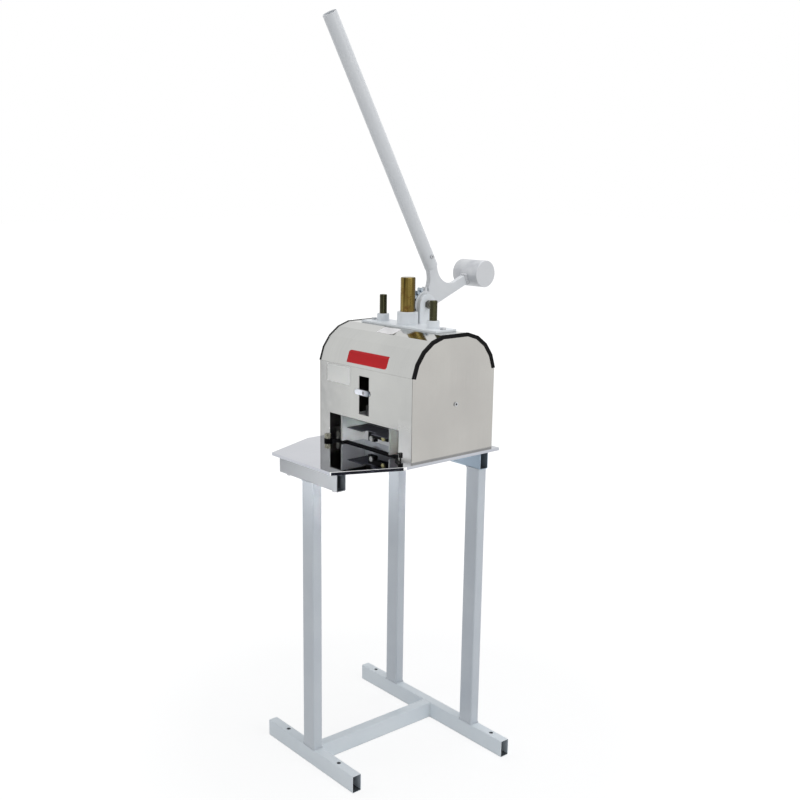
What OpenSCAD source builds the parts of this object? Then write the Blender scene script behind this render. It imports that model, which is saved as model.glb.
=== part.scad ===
// Dough divider with a lever press, on a welded tube stand.
// Origin on the floor below the ram, front towards -Y, millimetres.

/* [Stand] */
// Narrow side of the stand tube
tube_w = 30; // [20:1:40]
// Wide side of the stand tube
tube_h = 50; // [40:1:60]
// Wall of the stand tube
tube_wall = 2; // [1.5:0.1:3]
// Outer radius of the tube's long edges
tube_r = 4; // [3.5:0.5:6]
// Length of the front foot
front_foot_len = 394; // [320:1:460]
// Length of the rear foot
rear_foot_len = 625; // [560:1:700]
// Ram axis to the middle of the front foot
front_reach = 333; // [310:1:345]
// Ram axis to the middle of the rear foot
rear_reach = 117; // [100:1:140]
// Length of the three legs
leg_len = 776; // [600:1:900]
// Middle to middle of the rear legs
rear_leg_gap = 334; // [280:1:340]
// Length of the front rail
front_rail_len = 254; // [160:1:260]
// Length of the rear rail
rear_rail_len = 392; // [390:1:410]
// Diameter of the bolt holes in the feet
foot_hole_d = 12; // [8:0.5:16]
// Spacing of the holes in the front foot
front_hole_gap = 237; // [150:1:290]
// Spacing of the holes in the rear foot
rear_hole_gap = 518; // [440:1:530]

/* [Table] */
// Thickness of the table plate
plate_t = 8; // [6:0.5:12]
// Width of the table plate
plate_w = 418; // [400:1:460]
// Ram axis to the rear edge of the plate
plate_rear = 162; // [152:1:190]
// Ram axis to the line where the plate begins to taper
plate_taper = 192; // [185:1:230]
// Ram axis to the front edge of the plate
plate_front = 370; // [355:1:400]
// Width of the front edge of the plate
tongue_w = 264; // [260:1:320]
// Diameter of the bolts under the table
table_bolt_d = 8; // [6:0.5:10]

/* [Housing] */
// Width over the side panels
house_w = 396; // [380:1:416]
// Depth over the front and rear panels
house_d = 298; // [294:1:302]
// Ram axis to the middle of the housing, to the front
house_shift = 5.8; // [4:0.1:8]
// Height from the table to the flat of the dome
house_h = 330; // [320:1:360]
// Thickness of the sheet
sheet = 1.5; // [1:0.1:2]
// Radius of the dome's shoulders, to the flats
dome_r = 123; // [110:1:126]
// Bends in each shoulder
dome_bends = 5; // [4:1:7]
// Width of the slot in the front panel
slot_w = 42; // [30:1:60]
// Lower end of the slot, as a share of the front panel's height
slot_low_share = 0.433; // [0.41:0.001:0.45]
// Upper end of the slot, as a share of the front panel's height
slot_high_share = 0.906; // [0.89:0.001:0.93]
// Width of the front opening
mouth_w = 297; // [280:1:320]
// Ram plane to the middle of the front opening, to the left
mouth_shift = 3.5; // [0:0.5:8]
// Height of the front opening, as a share of the front panel's height
mouth_share = 0.358; // [0.32:0.001:0.4]
// Thickness of the black edge trim
trim_t = 2; // [1.5:0.1:3]
// Width of the trim on the side panel
trim_web = 9; // [6:0.5:12]
// Width of the trim over the dome
trim_lip = 4.5; // [4:0.5:10]
// Head diameter of the side panel screws
side_screw_d = 12; // [8:0.5:16]

/* [Frame] */
// Thickness of the frame plates
frame_t = 10; // [8:0.5:14]
// Depth of the frame plates
frame_d = 120; // [100:1:130]
// Width of the frame plates' feet
frame_foot_w = 36; // [30:1:45]
// Thickness of the frame plates' feet
frame_foot_t = 8; // [6:0.5:12]
// Thickness of the frame's top plate
top_plate_t = 12; // [10:0.5:16]
// Diameter of the frame bolts
frame_bolt_d = 8; // [6:0.5:9]
// Thickness of the guide walls beside the pan
guide_t = 6; // [4:0.5:8]
// Height of the guide walls
guide_h = 81; // [60:1:100]

/* [Top] */
// Length of the bridge plate
bridge_len = 310; // [300:1:340]
// Depth of the bridge plate
bridge_d = 76; // [70:1:84]
// Thickness of the bridge plate
bridge_t = 6; // [5:0.5:10]
// Width of the bridge's rear tongue, under the ears
tongue_d = 60; // [50:1:70]
// Bridge screws from the ends of the bridge
bridge_screw_inset = 12; // [10:0.5:16]
// Diameter of the bridge screws
bridge_screw_d = 8; // [6:0.5:10]
// Diameter of the ram's collar
ram_collar_d = 58; // [52:0.5:58.5]
// Height of the ram's collar
ram_collar_h = 36; // [30:0.5:38]
// Diameter of the guide rod collars
rod_collar_d = 35; // [28:0.5:40]
// Height of the guide rod collars
rod_collar_h = 21; // [15:0.5:30]
// Thickness of the fulcrum ears
ear_t = 12; // [8:0.5:15]
// Radius of the ears round the pivot
ear_r = 28.5; // [24:0.5:28.5]
// Height of the pivot above the bridge
pivot_h = 53; // [52:0.5:60]
// Diameter of the pivot bolt
pivot_d = 12; // [10:0.5:16]

/* [Lever] */
// Thickness of the lever plate
lever_t = 16; // [12:0.5:17]
// Module of the sector's teeth
gear_module = 5; // [4.8:0.1:5.2]
// Teeth on the sector's full circle
gear_teeth = 17; // [17:1:18]
// Outer diameter of the handle tube
handle_d = 38; // [32:0.5:42]
// Wall of the handle tube
handle_wall = 2.2; // [1.5:0.1:3]
// Length of the handle tube
handle_len = 730; // [500:1:800]
// Lean of the handle, from upright
handle_lean = 29.3; // [26:0.1:31]
// Pivot to the handle's lower end, to the rear
handle_y = 28; // [26:0.5:30]
// Pivot to the handle's lower end, upwards
handle_z = 102; // [98:0.5:108]
// Diameter of the counterweight
weight_d = 76; // [60:0.5:84]
// Length of the counterweight
weight_len = 96; // [80:1:130]
// Pivot to the counterweight, to the rear
weight_y = 196; // [188:0.5:202]
// Pivot to the counterweight, upwards
weight_z = 76; // [72:0.5:80]

/* [Press head] */
// Diameter of the ram
ram_d = 41; // [39:0.1:42]
// Height of the ram above the bridge
ram_above = 130; // [128:0.5:132]
// Rack pitch line behind the ram axis
rack_inset = 14.5; // [14:0.1:15]
// Diameter of the guide rods
rod_d = 21; // [16:0.1:22]
// Guide rods from the ends of the bridge
rod_inset = 51; // [49:0.5:53]
// Height of the guide rods above the bridge
rod_above = 75; // [60:0.5:90]
// Way of the head up from rest
travel_up = 37; // [30:0.5:38]
// Way of the head down from rest
travel_down = 52; // [45:0.5:53]
// Thickness of the crosshead
cross_t = 25; // [20:0.5:28]
// Depth of the crosshead
cross_d = 90; // [84:1:100]
// Width of the knife frame
head_w = 192; // [180:1:193]
// Depth of the knife frame
head_d = 136; // [126:1:138]
// Wall of the knife frame
knife_frame_t = 4; // [3:0.5:5]
// Thickness of a knife
knife_t = 1.5; // [1:0.1:2]
// Height of the knives
knife_h = 42; // [38:0.5:46]
// Cells along the width
cells_x = 6; // [4:1:7]
// Cells along the depth
cells_y = 5; // [4:1:6]
// Way of the pads up into the knives
pad_travel = 25; // [15:0.5:26]
// Thickness of a pad
pad_t = 10; // [8:0.5:12]
// Diameter of a pad's stem
pad_stem_d = 8; // [6:0.5:10]
// Diameter of the shoulder bolts
pad_bolt_d = 10; // [8:0.5:12]
// Wire of the springs
wire_d = 2.5; // [2:0.1:3]
// Mean diameter of the springs
coil_d = 18; // [16:0.5:20]
// Turns of a spring
coil_turns = 8; // [5:1:10]
// Height of the selector, as a share of the way from the pad plate to the crosshead
selector_share = 0.459; // [0.44:0.001:0.48]
// Diameter of the selector's stem
selector_d = 10; // [8:0.5:12]

/* [Pan and gate] */
// Height of the pan
pan_h = 48; // [40:0.5:50]
// Thickness of the pan's sheet
pan_t = 1.5; // [1:0.1:2]
// Thickness of the pan's floor
pan_floor_t = 2; // [1.5:0.1:3]
// Width of the pan's front flange
flange_w = 170; // [140:1:180]
// Reach of the flange in front of the pan
flange_d = 74; // [60:0.5:78]
// Thickness of the gate's flat bar
gate_t = 5; // [4:0.5:6]
// Width of the gate's flat bar
gate_w = 6; // [5:0.5:8]
// Diameter of the gate's hinge bolt
hinge_d = 10; // [8:0.5:11]
// Ram plane to the hinge bolt
hinge_x = 145; // [142:0.5:148]
// Ram plane to the gate's knob
knob_x = 184; // [178:0.5:188]
// Diameter of the gate's knob
knob_d = 11; // [9:0.5:14]
// Height of the gate's knob
knob_h = 13; // [10:0.5:16]

/* [Hidden] */
$fn = 64;

// Shared clearances: overrun of a cut, running fit, slip fit, gap between moving flats, hole clearance
over = 1;
fit = 0.05;
slip = 0.1;
gap = 0.3;
hole_gap = 1;

// Chamfer of turned edges
edge = 1.5;

// Shares of a fastener's diameter: head height, hexagon width, button head
head_h_share = 0.65;
hex_share = 1.7;
nut_h_share = 0.8;
hex_corner = 1 / cos(30);

// Colours
paint = [0.86, 0.89, 0.92];
steel = [0.72, 0.72, 0.72];
polished = [0.80, 0.80, 0.80];
zinc = [0.62, 0.54, 0.30];
black = [0.06, 0.06, 0.06];

// Heights of the stand and table
leg_top = tube_h + leg_len;
rail_top = leg_top + tube_h;
table_top = rail_top + plate_t;
table_bolt_inset_share = 0.8;

// Housing and dome
half_w = house_w / 2;
half_d = house_d / 2;
front_y = -house_shift - half_d;
rear_y = -house_shift + half_d;
skin_x = half_w - sheet;
dome_top = table_top + house_h;
bend_deg = 90 / dome_bends;
dome_y = half_d - dome_r;
dome_z = dome_top - dome_r;
seam_z = dome_z + dome_r * tan(bend_deg / 2);
flat_half = dome_y + dome_r * tan(bend_deg / 2);
panel_top = seam_z - sheet * tan(bend_deg / 2);
panel_h = panel_top - table_top;
panel_gap = 1;
panel_x = skin_x - panel_gap;
side_screw_z_share = 0.43;
trim_lip_t = 1.2;
side_screw_z = table_top + house_h * side_screw_z_share;

// Frame
top_high = dome_top - sheet;
top_low = top_high - top_plate_t;
top_half_d = flat_half - sheet - house_shift;
frame_bolt_y_share = 0.3;

// Bridge and fulcrum
bridge_top = dome_top + bridge_t;
rod_gap = bridge_len - 2 * rod_inset;
pitch_r = gear_module * gear_teeth / 2;
pivot_y = rack_inset + pitch_r;
pivot_z = bridge_top + pivot_h;
ear_in = lever_t / 2 + gap;
ear_out = ear_in + ear_t;
pivot_head = pivot_d * head_h_share;

// Teeth: pressure angle, heights as shares of the module, thinning for backlash, points on a flank
pressure_deg = 20;
addendum_share = 0.95;
dedendum_share = 1.2;
backlash = 0.8;
flank_steps = 5;
first_tooth = -3;
last_tooth = 4;
rack_first = -4;
rack_last = 4;
rack_flat_first = -5;
rack_flat_last = 6;
tip_r = pitch_r + gear_module * addendum_share;
root_r = pitch_r - gear_module * dedendum_share;
base_r = pitch_r * cos(pressure_deg);
rack_pitch = PI * gear_module;

// Lever outline, measured from the pivot
handle_dir = [-sin(handle_lean), cos(handle_lean)];
handle_side = [cos(handle_lean), sin(handle_lean)];
handle_end = [handle_y, handle_z];
handle_in = handle_d / 2 - handle_wall;
neck_half = handle_d / 2 - over;
neck_front = 15;
neck_relief = 4;
neck_relief_r = 60;
shank_len = 60;
shank_root = 2;
screw_up = 33;
handle_screw_d = 6;
weight_end = [weight_y, weight_z];
arm_w = 27;
arm_angle = 24;
arm_dir = [cos(arm_angle), sin(arm_angle)];
arm_side = [-sin(arm_angle), cos(arm_angle)];
crook = [98, 107];
crook_r = abs((crook - weight_end - arm_side * arm_w / 2) * arm_side);
crook_foot = crook - arm_side * crook_r;
hub_drop = 21.5;

// Head levels at rest
pan_floor = table_top + pan_floor_t;
knife_gap = 3.5;
pad_proud = 0.5;
knife_low = pan_floor + travel_down + knife_gap;
knife_top = knife_low + knife_h;
pad_low = knife_low - pad_proud;
plate_gap = 5;
pad_plate_t = 10;
pad_plate_low = knife_top + plate_gap;
pad_plate_top = pad_plate_low + pad_plate_t;
pad_head_h = 8;
pad_head_d = 16;
head_room = 8;
cross_top = top_low - travel_up - pad_travel - pad_head_h - head_room;
cross_low = cross_top - cross_t;
cross_margin = 14;
cross_half = max(rod_gap, head_w) / 2 + cross_margin;
ram_spigot_d = 24;
ram_nut_h = 18;
rod_spigot_d = 12;
rod_spigot_h = 18;
rack_side_gap = 0.5;

// Knife grid cells inside the frame
in_x = head_w / 2 - knife_frame_t;
in_y = head_d / 2 - knife_frame_t;
pitch_x = 2 * in_x / cells_x;
pitch_y = 2 * in_y / cells_y;
pad_gap = 0.4;
pad_bolt_x_share = 0.7;
pad_bolt_y_share = 0.31;
pad_bolt_x = in_x * pad_bolt_x_share;
pad_bolt_y = cross_d * pad_bolt_y_share;

// Selector in the slot
selector_z = pad_plate_top + (cross_low - pad_plate_top) * selector_share;
selector_plate_t = 6;
selector_plate_w = 30;
selector_plate_drop = 14;
tab_left = 37;
tab_right = 25;
tab_h = 15;
tab_t = 2;
tab_gap = 1;
tab_back = -front_y + tab_gap;
tab_front = tab_back + tab_t;

// Pan and guide walls
pan_gap = 1.5;
pan_in_x = head_w / 2 + pan_gap;
pan_in_y = head_d / 2 + pan_gap;
pan_x = pan_in_x + pan_t;
pan_y = pan_in_y + pan_t;
pan_top = table_top + pan_h;
guide_gap = 1.5;
guide_x = pan_x + guide_gap;
guide_end_gap = 3;
flange_t = 2;
flange_front = pan_y + flange_d;
notch_w = 40;
notch_d = 19;
catch_left = 15;
catch_step = 13;
catch_right = 68;
catch_t = 12;
catch_h = 26;
catch_low_h = 15;
catch_bolt_d = 8;
catch_bolt_x = [3, 54];
catch_bolt_drop = [17, 7.5];

// Gate: a cranked bar that swings over the table, with its hinge, knob and stop
gate_in = 21.8;
gate_mid = -front_y - gate_in;
gate_low = table_top + gap;
gate_top = gate_low + gate_t;
gate_slack = 1;
crank_left = 23;
crank_right = 64;
bend_gap = 1;
bend_out = 6.2;
eye_r = 11;
eye_h = 7.5;
grip_r = 7;
hinge_out = 12.2;
hinge_y = -front_y + hinge_out;
hinge_low = gate_low + eye_h + gap;
hinge_head_h = 13;
hinge_nut_h = hinge_d * nut_h_share;
thread_end = 2;
knob_out = 26.2;
knob_y = -front_y + knob_out;
knob_rise = 15;
stud_d = 4;
pin_d = 3;
pin_len = 14;
pin_share = 0.75;
stop_d = 12;
stop_h = 26;
stop_in = 8;
stop_ahead = 3;
stop_x = hinge_x - stop_in;
stop_y = gate_mid + stop_ahead;

// Tooth flank of the sector: roll of the involute, and half the tooth's angle at a radius
function roll(r) = sqrt(max(0, pow(r / base_r, 2) - 1));
function inv_deg(r) = roll(r) * 180 / PI - atan(roll(r));
function half_tooth(r) =
    90 / gear_teeth - backlash / 2 / pitch_r * 180 / PI + inv_deg(pitch_r) - inv_deg(max(r, base_r));
function flank_r(i) = root_r - over + (tip_r - root_r + over) * i / flank_steps;
function polar(r, a) = [r * cos(a), r * sin(a)];

// Corners of one dome shoulder, and the whole arch from the rear seam to the front seam
function shoulder(off) = [for (k = [0 : dome_bends - 1])
    [dome_y, dome_z] + polar((dome_r - off) / cos(bend_deg / 2), bend_deg * (k + 0.5))];
function reverse(list) = [for (i = [len(list) - 1 : -1 : 0]) list[i]];
function arch(off) = [for (p = concat(shoulder(off), [for (p = reverse(shoulder(off))) [-p[0], p[1]]]))
    [p[0] - house_shift, p[1]]];

module block(low, high) { translate(low) cube(high - low); }
module bar_x(r, x0, x1) { translate([x0, 0, 0]) rotate([0, 90, 0]) cylinder(r = r, h = x1 - x0); }
module bar_y(r, y0, y1) { translate([0, y1, 0]) rotate([90, 0, 0]) cylinder(r = r, h = y1 - y0); }
module bar_z(r, z0, z1) { translate([0, 0, z0]) cylinder(r = r, h = z1 - z0); }
// An upright bar with a chamfered top edge
module chamfer_z(r, z0, z1) {
    bar_z(r, z0, z1 - edge);
    translate([0, 0, z1 - edge]) cylinder(r1 = r, r2 = r - edge, h = edge);
}
module yz_plate(x0, x1) { translate([x0, 0, 0]) rotate([90, 0, 90]) linear_extrude(x1 - x0) children(); }
module xz_plate(y0, y1) { translate([0, y1, 0]) rotate([90, 0, 0]) linear_extrude(y1 - y0) children(); }
module xy_plate(z0, z1) { translate([0, 0, z0]) linear_extrude(z1 - z0) children(); }
module at_pivot() { translate([0, pivot_y, pivot_z]) children(); }
module hex(width, h) { cylinder(d = width * hex_corner, h = h, $fn = 6); }

// Section of a stand tube: round corners from circles, so that the edges are true arcs
module round_rect(w, h, r) {
    square([w - 2 * r, h], center = true);
    square([w, h - 2 * r], center = true);
    for (s = [-1, 1], t = [-1, 1]) translate([s * (w / 2 - r), t * (h / 2 - r)]) circle(r = r);
}
module tube_section(w, h) {
    difference() {
        round_rect(w, h, tube_r);
        round_rect(w - 2 * tube_wall, h - 2 * tube_wall, tube_r - tube_wall);
    }
}
// A tube lying along X, and a leg standing on a foot
module tube_x(len, y, z) {
    translate([0, y, z + tube_h / 2]) yz_plate(-len / 2, len / 2) tube_section(tube_w, tube_h);
}
module leg(x, y) {
    color(paint) translate([x, y, 0]) xy_plate(tube_h, leg_top) tube_section(tube_h, tube_w);
}
module foot(len, y, spacing) {
    color(paint) difference() {
        tube_x(len, y, 0);
        for (s = [-1, 1]) translate([s * spacing / 2, y, 0])
            bar_z(foot_hole_d / 2, -over, tube_h + over);
    }
}
module rail(len, y) {
    color(paint) difference() {
        tube_x(len, y, leg_top);
        for (s = [-1, 1]) translate([s * len / 2 * table_bolt_inset_share, y, 0])
            bar_z(table_bolt_d / 2 + slip, leg_top - over, rail_top + over);
    }
}

module front_foot() { foot(front_foot_len, -front_reach, front_hole_gap); }
module rear_foot() { foot(rear_foot_len, rear_reach, rear_hole_gap); }
module front_leg() { leg(0, -front_reach); }
module rear_left_leg() { leg(-rear_leg_gap / 2, rear_reach); }
module rear_right_leg() { leg(rear_leg_gap / 2, rear_reach); }
module front_rail() { rail(front_rail_len, -front_reach); }
module rear_rail() { rail(rear_rail_len, rear_reach); }

module foot_crossbar() {
    color(paint) translate([0, 0, tube_h / 2])
        xz_plate(-front_reach + tube_w / 2, rear_reach - tube_w / 2) tube_section(tube_w, tube_h);
}

// Places of the table bolts, two in each rail
module table_bolt_places() {
    for (s = [-1, 1]) {
        translate([s * front_rail_len / 2 * table_bolt_inset_share, -front_reach, 0]) children();
        translate([s * rear_rail_len / 2 * table_bolt_inset_share, rear_reach, 0]) children();
    }
}
// Places of the bolts in the frame plates' feet
module frame_foot_places() {
    for (s = [-1, 1], t = [-1, 1])
        translate([s * (skin_x - frame_t - frame_foot_w / 2), t * frame_d * frame_bolt_y_share, 0])
            children();
}
// Places of the bolts from the top plate down into the frame plates
module frame_top_places() {
    for (s = [-1, 1], t = [-1, 1])
        translate([s * (skin_x - frame_t / 2), t * top_half_d / 2, 0]) children();
}

module table_plate() {
    color(polished) difference() {
        xy_plate(rail_top, table_top) polygon([
            [-plate_w / 2, plate_rear], [-plate_w / 2, -plate_taper], [-tongue_w / 2, -plate_front],
            [tongue_w / 2, -plate_front], [plate_w / 2, -plate_taper], [plate_w / 2, plate_rear]]);
        table_bolt_places() bar_z(table_bolt_d / 2 + slip, rail_top - over, rail_top + plate_t / 2);
        frame_foot_places() bar_z(frame_bolt_d / 2 + slip, rail_top - over, table_top + over);
        at_hinge() bar_z(hinge_d / 2 + slip, rail_top - over, table_top + over);
    }
}
module table_bolts() {
    head = table_bolt_d * head_h_share;
    color(steel) table_bolt_places() {
        translate([0, 0, leg_top - head]) hex(table_bolt_d * hex_share, head);
        bar_z(table_bolt_d / 2, leg_top - head, rail_top + plate_t / 2 - slip);
    }
}

module front_panel() {
    color(polished) xz_plate(front_y, front_y + sheet) difference() {
        translate([-panel_x, table_top]) square([2 * panel_x, panel_h]);
        translate([-mouth_w / 2 - mouth_shift, table_top - over])
            square([mouth_w, panel_h * mouth_share + over]);
        translate([-slot_w / 2, table_top + panel_h * slot_low_share])
            square([slot_w, panel_h * (slot_high_share - slot_low_share)]);
    }
}
module rear_panel() {
    color(polished) block([-panel_x, rear_y - sheet, table_top], [panel_x, rear_y, panel_top]);
}
module dome_cover() {
    color(polished) difference() {
        yz_plate(-skin_x, skin_x) polygon(concat(arch(0), reverse(arch(sheet))));
        rod_holes(top_low, bridge_top);
        bridge_screw_places() bar_z(bridge_screw_d / 2 + slip, top_high - over, dome_top + over);
    }
}
module side_panel(s) {
    color(polished) difference() {
        yz_plate(s > 0 ? skin_x : -half_w, s > 0 ? half_w : -skin_x)
            polygon(concat(arch(0), [[front_y, table_top], [rear_y, table_top]]));
        translate([0, 0, side_screw_z]) bar_x(side_screw_d / 4 + slip, -half_w - over, half_w + over);
    }
}
module left_side_panel() { side_panel(-1); }
module right_side_panel() { side_panel(1); }

// Edge trim: a web on the side panel and a lip over the dome
module edge_trim(s) {
    color(black) mirror([s > 0 ? 0 : 1, 0, 0]) {
        yz_plate(half_w, half_w + trim_t) polygon(concat(arch(-trim_lip_t), reverse(arch(trim_web))));
        yz_plate(half_w - trim_lip, half_w) polygon(concat(arch(-trim_lip_t), reverse(arch(0))));
    }
}
module left_edge_trim() { edge_trim(-1); }
module right_edge_trim() { edge_trim(1); }
module side_screws() {
    color(steel) for (m = [0, 1]) mirror([m, 0, 0]) translate([0, 0, side_screw_z]) {
        bar_x(side_screw_d / 2, half_w, half_w + side_screw_d / 4);
        bar_x(side_screw_d / 4, half_w - sheet - frame_t / 2, half_w);
    }
}

module frame_plate(m) {
    color(steel) mirror([m, 0, 0]) difference() {
        union() {
            block([skin_x - frame_t, -frame_d / 2, table_top], [skin_x, frame_d / 2, top_low]);
            block([skin_x - frame_t - frame_foot_w, -frame_d / 2, table_top],
                [skin_x - frame_t, frame_d / 2, table_top + frame_foot_t]);
        }
        frame_foot_places() bar_z(frame_bolt_d / 2 + slip, table_top - over, table_top + frame_foot_t + over);
        frame_top_places() bar_z(frame_bolt_d / 2 + slip, top_low - top_plate_t, top_low + over);
        translate([0, 0, side_screw_z])
            bar_x(side_screw_d / 4 + slip, skin_x - frame_t / 2 - slip, skin_x + over);
    }
}
module left_frame_plate() { frame_plate(1); }
module right_frame_plate() { frame_plate(0); }
module frame_top_plate() {
    color(steel) difference() {
        block([-skin_x, -top_half_d, top_low], [skin_x, top_half_d, top_high]);
        rod_holes(top_low, bridge_top);
        bridge_screw_places() bar_z(bridge_screw_d / 2 + slip, top_low + top_plate_t / 4, top_high + over);
        frame_top_places() bar_z(frame_bolt_d / 2 + slip, top_low - over, top_high + over);
    }
}
module frame_bolts() {
    head = frame_bolt_d * head_h_share;
    color(steel) {
        frame_foot_places() {
            translate([0, 0, rail_top - head]) hex(frame_bolt_d * hex_share, head);
            bar_z(frame_bolt_d / 2, rail_top - head, table_top + frame_foot_t);
        }
        frame_top_places() bar_z(frame_bolt_d / 2, top_low - top_plate_t + slip, top_high);
    }
}
module guide_wall(m) {
    color(polished) mirror([m, 0, 0]) difference() {
        block([guide_x, front_y + sheet + guide_end_gap, table_top],
            [guide_x + guide_t, rear_y - sheet - guide_end_gap, table_top + guide_h]);
        block([guide_x - over, front_y, table_top - over],
            [guide_x + guide_t + over, gate_w / 2 - gate_mid + gate_slack, gate_top + gate_slack]);
    }
}
module left_guide_wall() { guide_wall(1); }
module right_guide_wall() { guide_wall(0); }

// Clear holes for the ram and the guide rods, between two heights
module rod_holes(z0, z1) {
    bar_z(ram_d / 2 + hole_gap, z0 - over, z1 + over);
    for (s = [-1, 1]) translate([s * rod_gap / 2, 0, 0]) bar_z(rod_d / 2 + hole_gap, z0 - over, z1 + over);
}
module bridge_screw_places() {
    for (s = [-1, 1]) translate([s * (bridge_len / 2 - bridge_screw_inset), 0, 0]) children();
}
module top_bridge() {
    color(paint) difference() {
        union() {
            block([-bridge_len / 2, -bridge_d / 2, dome_top], [bridge_len / 2, bridge_d / 2, bridge_top]);
            block([-tongue_d / 2, 0, dome_top], [tongue_d / 2, pivot_y + ear_r, bridge_top]);
        }
        rod_holes(dome_top, bridge_top);
        bridge_screw_places() bar_z(bridge_screw_d / 2 + slip, dome_top - over, bridge_top + over);
    }
}
module bridge_screws() {
    head = bridge_screw_d * head_h_share;
    color(steel) bridge_screw_places() {
        translate([0, 0, bridge_top]) hex(bridge_screw_d * hex_share, head);
        bar_z(bridge_screw_d / 2, top_low + top_plate_t / 4 + slip, bridge_top + head);
    }
}
module rod_collar(s) {
    color(paint) translate([s * rod_gap / 2, 0, 0]) difference() {
        chamfer_z(rod_collar_d / 2, bridge_top, bridge_top + rod_collar_h);
        bar_z(rod_d / 2 + fit, bridge_top - over, bridge_top + rod_collar_h + over);
    }
}
module left_collar() { rod_collar(-1); }
module right_collar() { rod_collar(1); }
module centre_collar() {
    color(paint) difference() {
        chamfer_z(ram_collar_d / 2, bridge_top, bridge_top + ram_collar_h);
        bar_z(ram_d / 2 + fit, bridge_top - over, bridge_top + ram_collar_h + over);
        at_pivot() bar_x(tip_r + hole_gap, -lever_t / 2 - hole_gap, lever_t / 2 + hole_gap);
    }
}
module ear(x0) {
    color(paint) difference() {
        union() {
            at_pivot() bar_x(ear_r, x0, x0 + ear_t);
            block([x0, pivot_y - ear_r, bridge_top], [x0 + ear_t, pivot_y + ear_r, pivot_z]);
        }
        at_pivot() bar_x(pivot_d / 2 + fit, x0 - over, x0 + ear_t + over);
    }
}
module left_ear() { ear(-ear_out); }
module right_ear() { ear(ear_in); }
module pivot_bolt() {
    color(steel) at_pivot() {
        translate([-ear_out - pivot_head, 0, 0]) rotate([0, 90, 0]) hex(pivot_d * hex_share, pivot_head);
        bar_x(pivot_d / 2, -ear_out - pivot_head, ear_out + pivot_d);
    }
}
module pivot_nut() {
    color(steel) at_pivot() translate([ear_out, 0, 0]) rotate([0, 90, 0]) difference() {
        hex(pivot_d * hex_share, pivot_d * nut_h_share);
        bar_z(pivot_d / 2 + fit, -over, pivot_d);
    }
}

// One tooth of the sector, pointing along +X of its own outline
module tooth() {
    polygon(concat(
        [for (i = [0 : flank_steps]) polar(flank_r(i), -half_tooth(flank_r(i)))],
        [for (i = [flank_steps : -1 : 0]) polar(flank_r(i), half_tooth(flank_r(i)))]));
}
module lever_outline() {
    neck_in = handle_end - handle_side * neck_half;
    neck_out = handle_end + handle_side * neck_half;
    difference() {
        polygon([[neck_front, 0], neck_in, neck_out, crook, crook_foot, weight_end + arm_side * arm_w / 2,
            weight_end - arm_side * arm_w / 2, [0, -hub_drop]]);
        translate(crook) circle(r = crook_r);
        translate([neck_front + neck_relief - neck_relief_r, (handle_z + root_r) / 2])
            circle(r = neck_relief_r);
        translate(weight_end) circle(r = weight_d / 2 + fit);
    }
    circle(r = root_r);
    for (k = [first_tooth : last_tooth]) rotate(180 - 360 / gear_teeth * (k + 0.5)) tooth();
}
// Frame of the handle: Z along the tube, from its lower end
module at_handle() {
    at_pivot() translate([0, handle_y, handle_z]) rotate([handle_lean, 0, 0]) children();
}
module lever_arm() {
    color(paint) difference() {
        union() {
            at_pivot() yz_plate(-lever_t / 2, lever_t / 2) lever_outline();
            at_handle() bar_z(handle_in - slip, -shank_root, shank_len);
        }
        at_pivot() bar_x(pivot_d / 2 + fit, -lever_t, lever_t);
        at_handle() translate([0, 0, screw_up]) bar_x(handle_screw_d / 2 + slip, 0, handle_d);
    }
}
module handle_tube() {
    color(paint) at_handle() difference() {
        bar_z(handle_d / 2, 0, handle_len);
        bar_z(handle_in, -over, handle_len + over);
        translate([0, 0, screw_up]) bar_x(handle_screw_d / 2 + slip, 0, handle_d);
    }
}
module handle_screw() {
    head = handle_screw_d * head_h_share;
    color(steel) at_handle() translate([0, 0, screw_up]) {
        bar_x(handle_screw_d / 2, slip, handle_d / 2 + head);
        bar_x(handle_screw_d, handle_d / 2, handle_d / 2 + head);
    }
}
module counterweight() {
    color(steel) at_pivot() translate([0, weight_y, weight_z])
        for (m = [0, 1]) mirror([m, 0, 0]) rotate([0, 90, 0]) chamfer_z(weight_d / 2, 0, weight_len / 2);
}

// Space between two rack teeth, straight flanks opening to the rear
module rack_space() {
    low = rack_inset - gear_module * dedendum_share;
    high = ram_d / 2 + over;
    low_half = rack_pitch / 4 + (low - rack_inset) * tan(pressure_deg);
    high_half = rack_pitch / 4 + (high - rack_inset) * tan(pressure_deg);
    polygon([[low, -low_half], [high, -high_half], [high, high_half], [low, low_half]]);
}
module ram() {
    half = lever_t / 2 + rack_side_gap;
    color(zinc) difference() {
        union() {
            chamfer_z(ram_d / 2, cross_top, bridge_top + ram_above);
            bar_z(ram_spigot_d / 2, cross_low - ram_nut_h, cross_top);
        }
        block([-half, rack_inset + gear_module * addendum_share, pivot_z + rack_pitch * rack_flat_first],
            [half, ram_d / 2 + over, pivot_z + rack_pitch * rack_flat_last]);
        yz_plate(-half, half) for (k = [rack_first : rack_last])
            translate([0, pivot_z + rack_pitch * (k + 0.5)]) rack_space();
    }
}
module ram_nut() {
    color(steel) translate([0, 0, cross_low - ram_nut_h]) difference() {
        hex(ram_spigot_d * hex_share, ram_nut_h);
        bar_z(ram_spigot_d / 2 + fit, -over, ram_nut_h + over);
    }
}
module guide_rod(s) {
    color(zinc) translate([s * rod_gap / 2, 0, 0]) {
        chamfer_z(rod_d / 2, cross_top, bridge_top + rod_above);
        bar_z(rod_spigot_d / 2, cross_top - rod_spigot_h, cross_top);
    }
}
module left_guide_rod() { guide_rod(-1); }
module right_guide_rod() { guide_rod(1); }
module pad_bolt_places() {
    for (s = [-1, 1], t = [-1, 1]) translate([s * pad_bolt_x, t * pad_bolt_y, 0]) children();
}
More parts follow.
